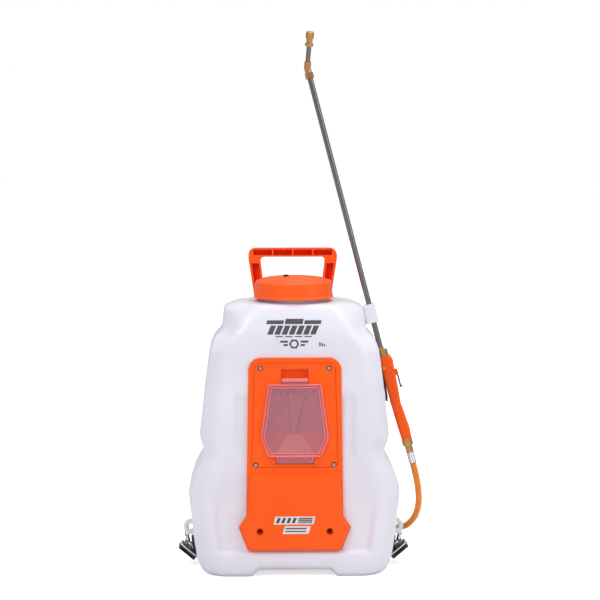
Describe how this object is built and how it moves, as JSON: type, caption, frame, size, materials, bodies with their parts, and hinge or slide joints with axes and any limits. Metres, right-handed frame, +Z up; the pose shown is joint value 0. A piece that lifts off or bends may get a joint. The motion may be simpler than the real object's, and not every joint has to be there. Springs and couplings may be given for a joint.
{
  "type": "backpack sprayer",
  "caption": "Battery backpack sprayer: white tank, orange cap, handle and cover, clear bay door, straps, hose and steel lance.",
  "frame": {"origin": "on the floor under the middle of the tank", "axes": "+Z up, -Y the side with the window, +X the side with the lance"},
  "size_m": [0.4455, 0.3795, 0.9677],
  "materials": {
    "white_hdpe": "translucent white, satin",
    "orange_plastic": "moulded orange, semi-gloss",
    "white_plastic": "natural white",
    "black_plastic": "moulded black",
    "dark_grey_plastic": "dark grey",
    "red_plastic": "red rocker",
    "smoky_window": "translucent smoky pink",
    "zinc_steel": "bright zinc plate",
    "dark_steel": "dark screws",
    "lance_steel": "drawn steel tube",
    "brass": "turned brass",
    "black_rubber": "soft rubber",
    "amber_hose": "amber PVC hose",
    "black_webbing": "woven webbing and padded fabric",
    "black_foam": "foam pad"
  },
  "bodies": {
    "tank": {"back_pad": "black_foam", "battery_contacts": "brass", "battery_dock": "dark_grey_plastic", "bay_frame": "orange_plastic", "bay_screws": "zinc_steel", "bay_tray": "orange_plastic", "carry_handle": "orange_plastic", "control_panel": "black_plastic", "controller_board": "dark_grey_plastic", "cover_screws": "dark_steel", "dock_wires": "black_rubber", "door_hinge_pin": "zinc_steel", "front_cover": "orange_plastic", "handle_screws": "zinc_steel", "hose_clamps": "zinc_steel", "hose_coil": "amber_hose", "hose_run": "amber_hose", "hose_tail": "amber_hose", "hose_tie": "black_plastic", "lance_clip": "white_plastic", "outlet_elbow": "black_plastic", "outlet_tube": "amber_hose", "pressure_switch": "black_plastic", "pump_feet": "black_rubber", "pump_head": "black_plastic", "pump_motor": "zinc_steel", "shoulder_strap_left": "black_webbing", "shoulder_strap_right": "black_webbing", "strap_anchor_plate": "black_plastic", "strap_lugs": "white_plastic", "strap_webbing_left": "black_webbing", "strap_webbing_right": "black_webbing", "suction_fitting": "black_plastic", "suction_hose": "amber_hose", "tank": "white_hdpe"},
    "cap_seal": {"cap_gasket": "black_rubber"},
    "cap": {"filler_cap": "orange_plastic", "cap_vent": "black_plastic"},
    "strainer": {"strainer_basket": "white_plastic"},
    "door": {"window_door": "smoky_window"},
    "door_latch": {"window_latch": "smoky_window"},
    "switch": {"rocker_switch": "red_plastic"},
    "knob": {"speed_knob": "black_plastic"},
    "lance": {"grip_body": "orange_plastic", "valve_body": "brass", "trigger_pin": "zinc_steel", "lance_nut": "brass", "lance_tube": "lance_steel", "hose_nut": "brass", "hose_ferrule": "zinc_steel"},
    "trigger": {"trigger": "black_plastic"},
    "trigger_lock": {"trigger_lock": "black_plastic"},
    "gooseneck": {"swivel_nut": "brass", "gooseneck_tube": "lance_steel", "nozzle_body": "brass"},
    "nozzle": {"nozzle_cap": "brass"},
    "hook_left": {"strap_hook_left": "zinc_steel", "buckle_left": "black_plastic"},
    "hook_right": {"strap_hook_right": "zinc_steel", "buckle_right": "black_plastic"}
  },
  "joints": [
    {"name": "cap_lift", "type": "slide", "parent": "tank", "child": "cap_seal", "axis": [0, 0, 1], "range_m": [0, 0.19]},
    {"name": "cap_turn", "type": "hinge", "parent": "cap_seal", "child": "cap", "pos_m": [0, -0.007, 0.505], "axis": [0, 0, 1], "continuous": true},
    {"name": "strainer_lift", "type": "slide", "parent": "tank", "child": "strainer", "axis": [0, 0, 1], "range_m": [0, 0.095]},
    {"name": "door_open", "type": "hinge", "parent": "tank", "child": "door", "pos_m": [0, -0.1036, 0.2095], "axis": [1, 0, 0], "range_deg": [0, 105]},
    {"name": "latch_press", "type": "hinge", "parent": "door", "child": "door_latch", "pos_m": [0, -0.1032, 0.3416], "axis": [-1, 0, 0], "range_deg": [0, 5], "stiffness_Nm_per_rad": 0.3, "springref_deg": -5.73},
    {"name": "switch_rock", "type": "hinge", "parent": "tank", "child": "switch", "pos_m": [-0.145, -0.002, 0.339], "axis": [0, 1, 0], "range_deg": [0, 14]},
    {"name": "knob_turn", "type": "hinge", "parent": "tank", "child": "knob", "pos_m": [-0.15, -0.002, 0.311], "axis": [-1, 0, 0], "range_deg": [0, 270]},
    {"name": "lance_unclip", "type": "slide", "parent": "tank", "child": "lance", "axis": [0.967, 0, 0.2549], "range_m": [0, 0.06]},
    {"name": "trigger_squeeze", "type": "hinge", "parent": "lance", "child": "trigger", "pos_m": [0.16361, -0.005, 0.36384], "axis": [0, -1, 0], "range_deg": [0, 9], "stiffness_Nm_per_rad": 0.8, "springref_deg": -8.59},
    {"name": "trigger_lock_swing", "type": "hinge", "parent": "lance", "child": "trigger_lock", "pos_m": [0.18709, -0.005, 0.35556], "axis": [0, -1, 0], "range_deg": [0, 30]},
    {"name": "gooseneck_turn", "type": "hinge", "parent": "lance", "child": "gooseneck", "pos_m": [0.0298, -0.005, 0.88392], "axis": [-0.2549, 0, 0.967], "continuous": true},
    {"name": "nozzle_turn", "type": "hinge", "parent": "gooseneck", "child": "nozzle", "pos_m": [0.02743, -0.01546, 0.94177], "axis": [0.0684, -0.2614, 0.9628], "continuous": true},
    {"name": "hook_left_swing", "type": "hinge", "parent": "tank", "child": "hook_left", "pos_m": [-0.1895, 0.005, 0.07], "axis": [0, 1, 0], "range_deg": [0, 26]},
    {"name": "hook_right_swing", "type": "hinge", "parent": "tank", "child": "hook_right", "pos_m": [0.1895, 0.005, 0.07], "axis": [0, -1, 0], "range_deg": [0, 26]}
  ],
  "couplings": [
    {"joint": "strainer_lift", "follows": "cap_lift", "ratio": 0.5}
  ]
}
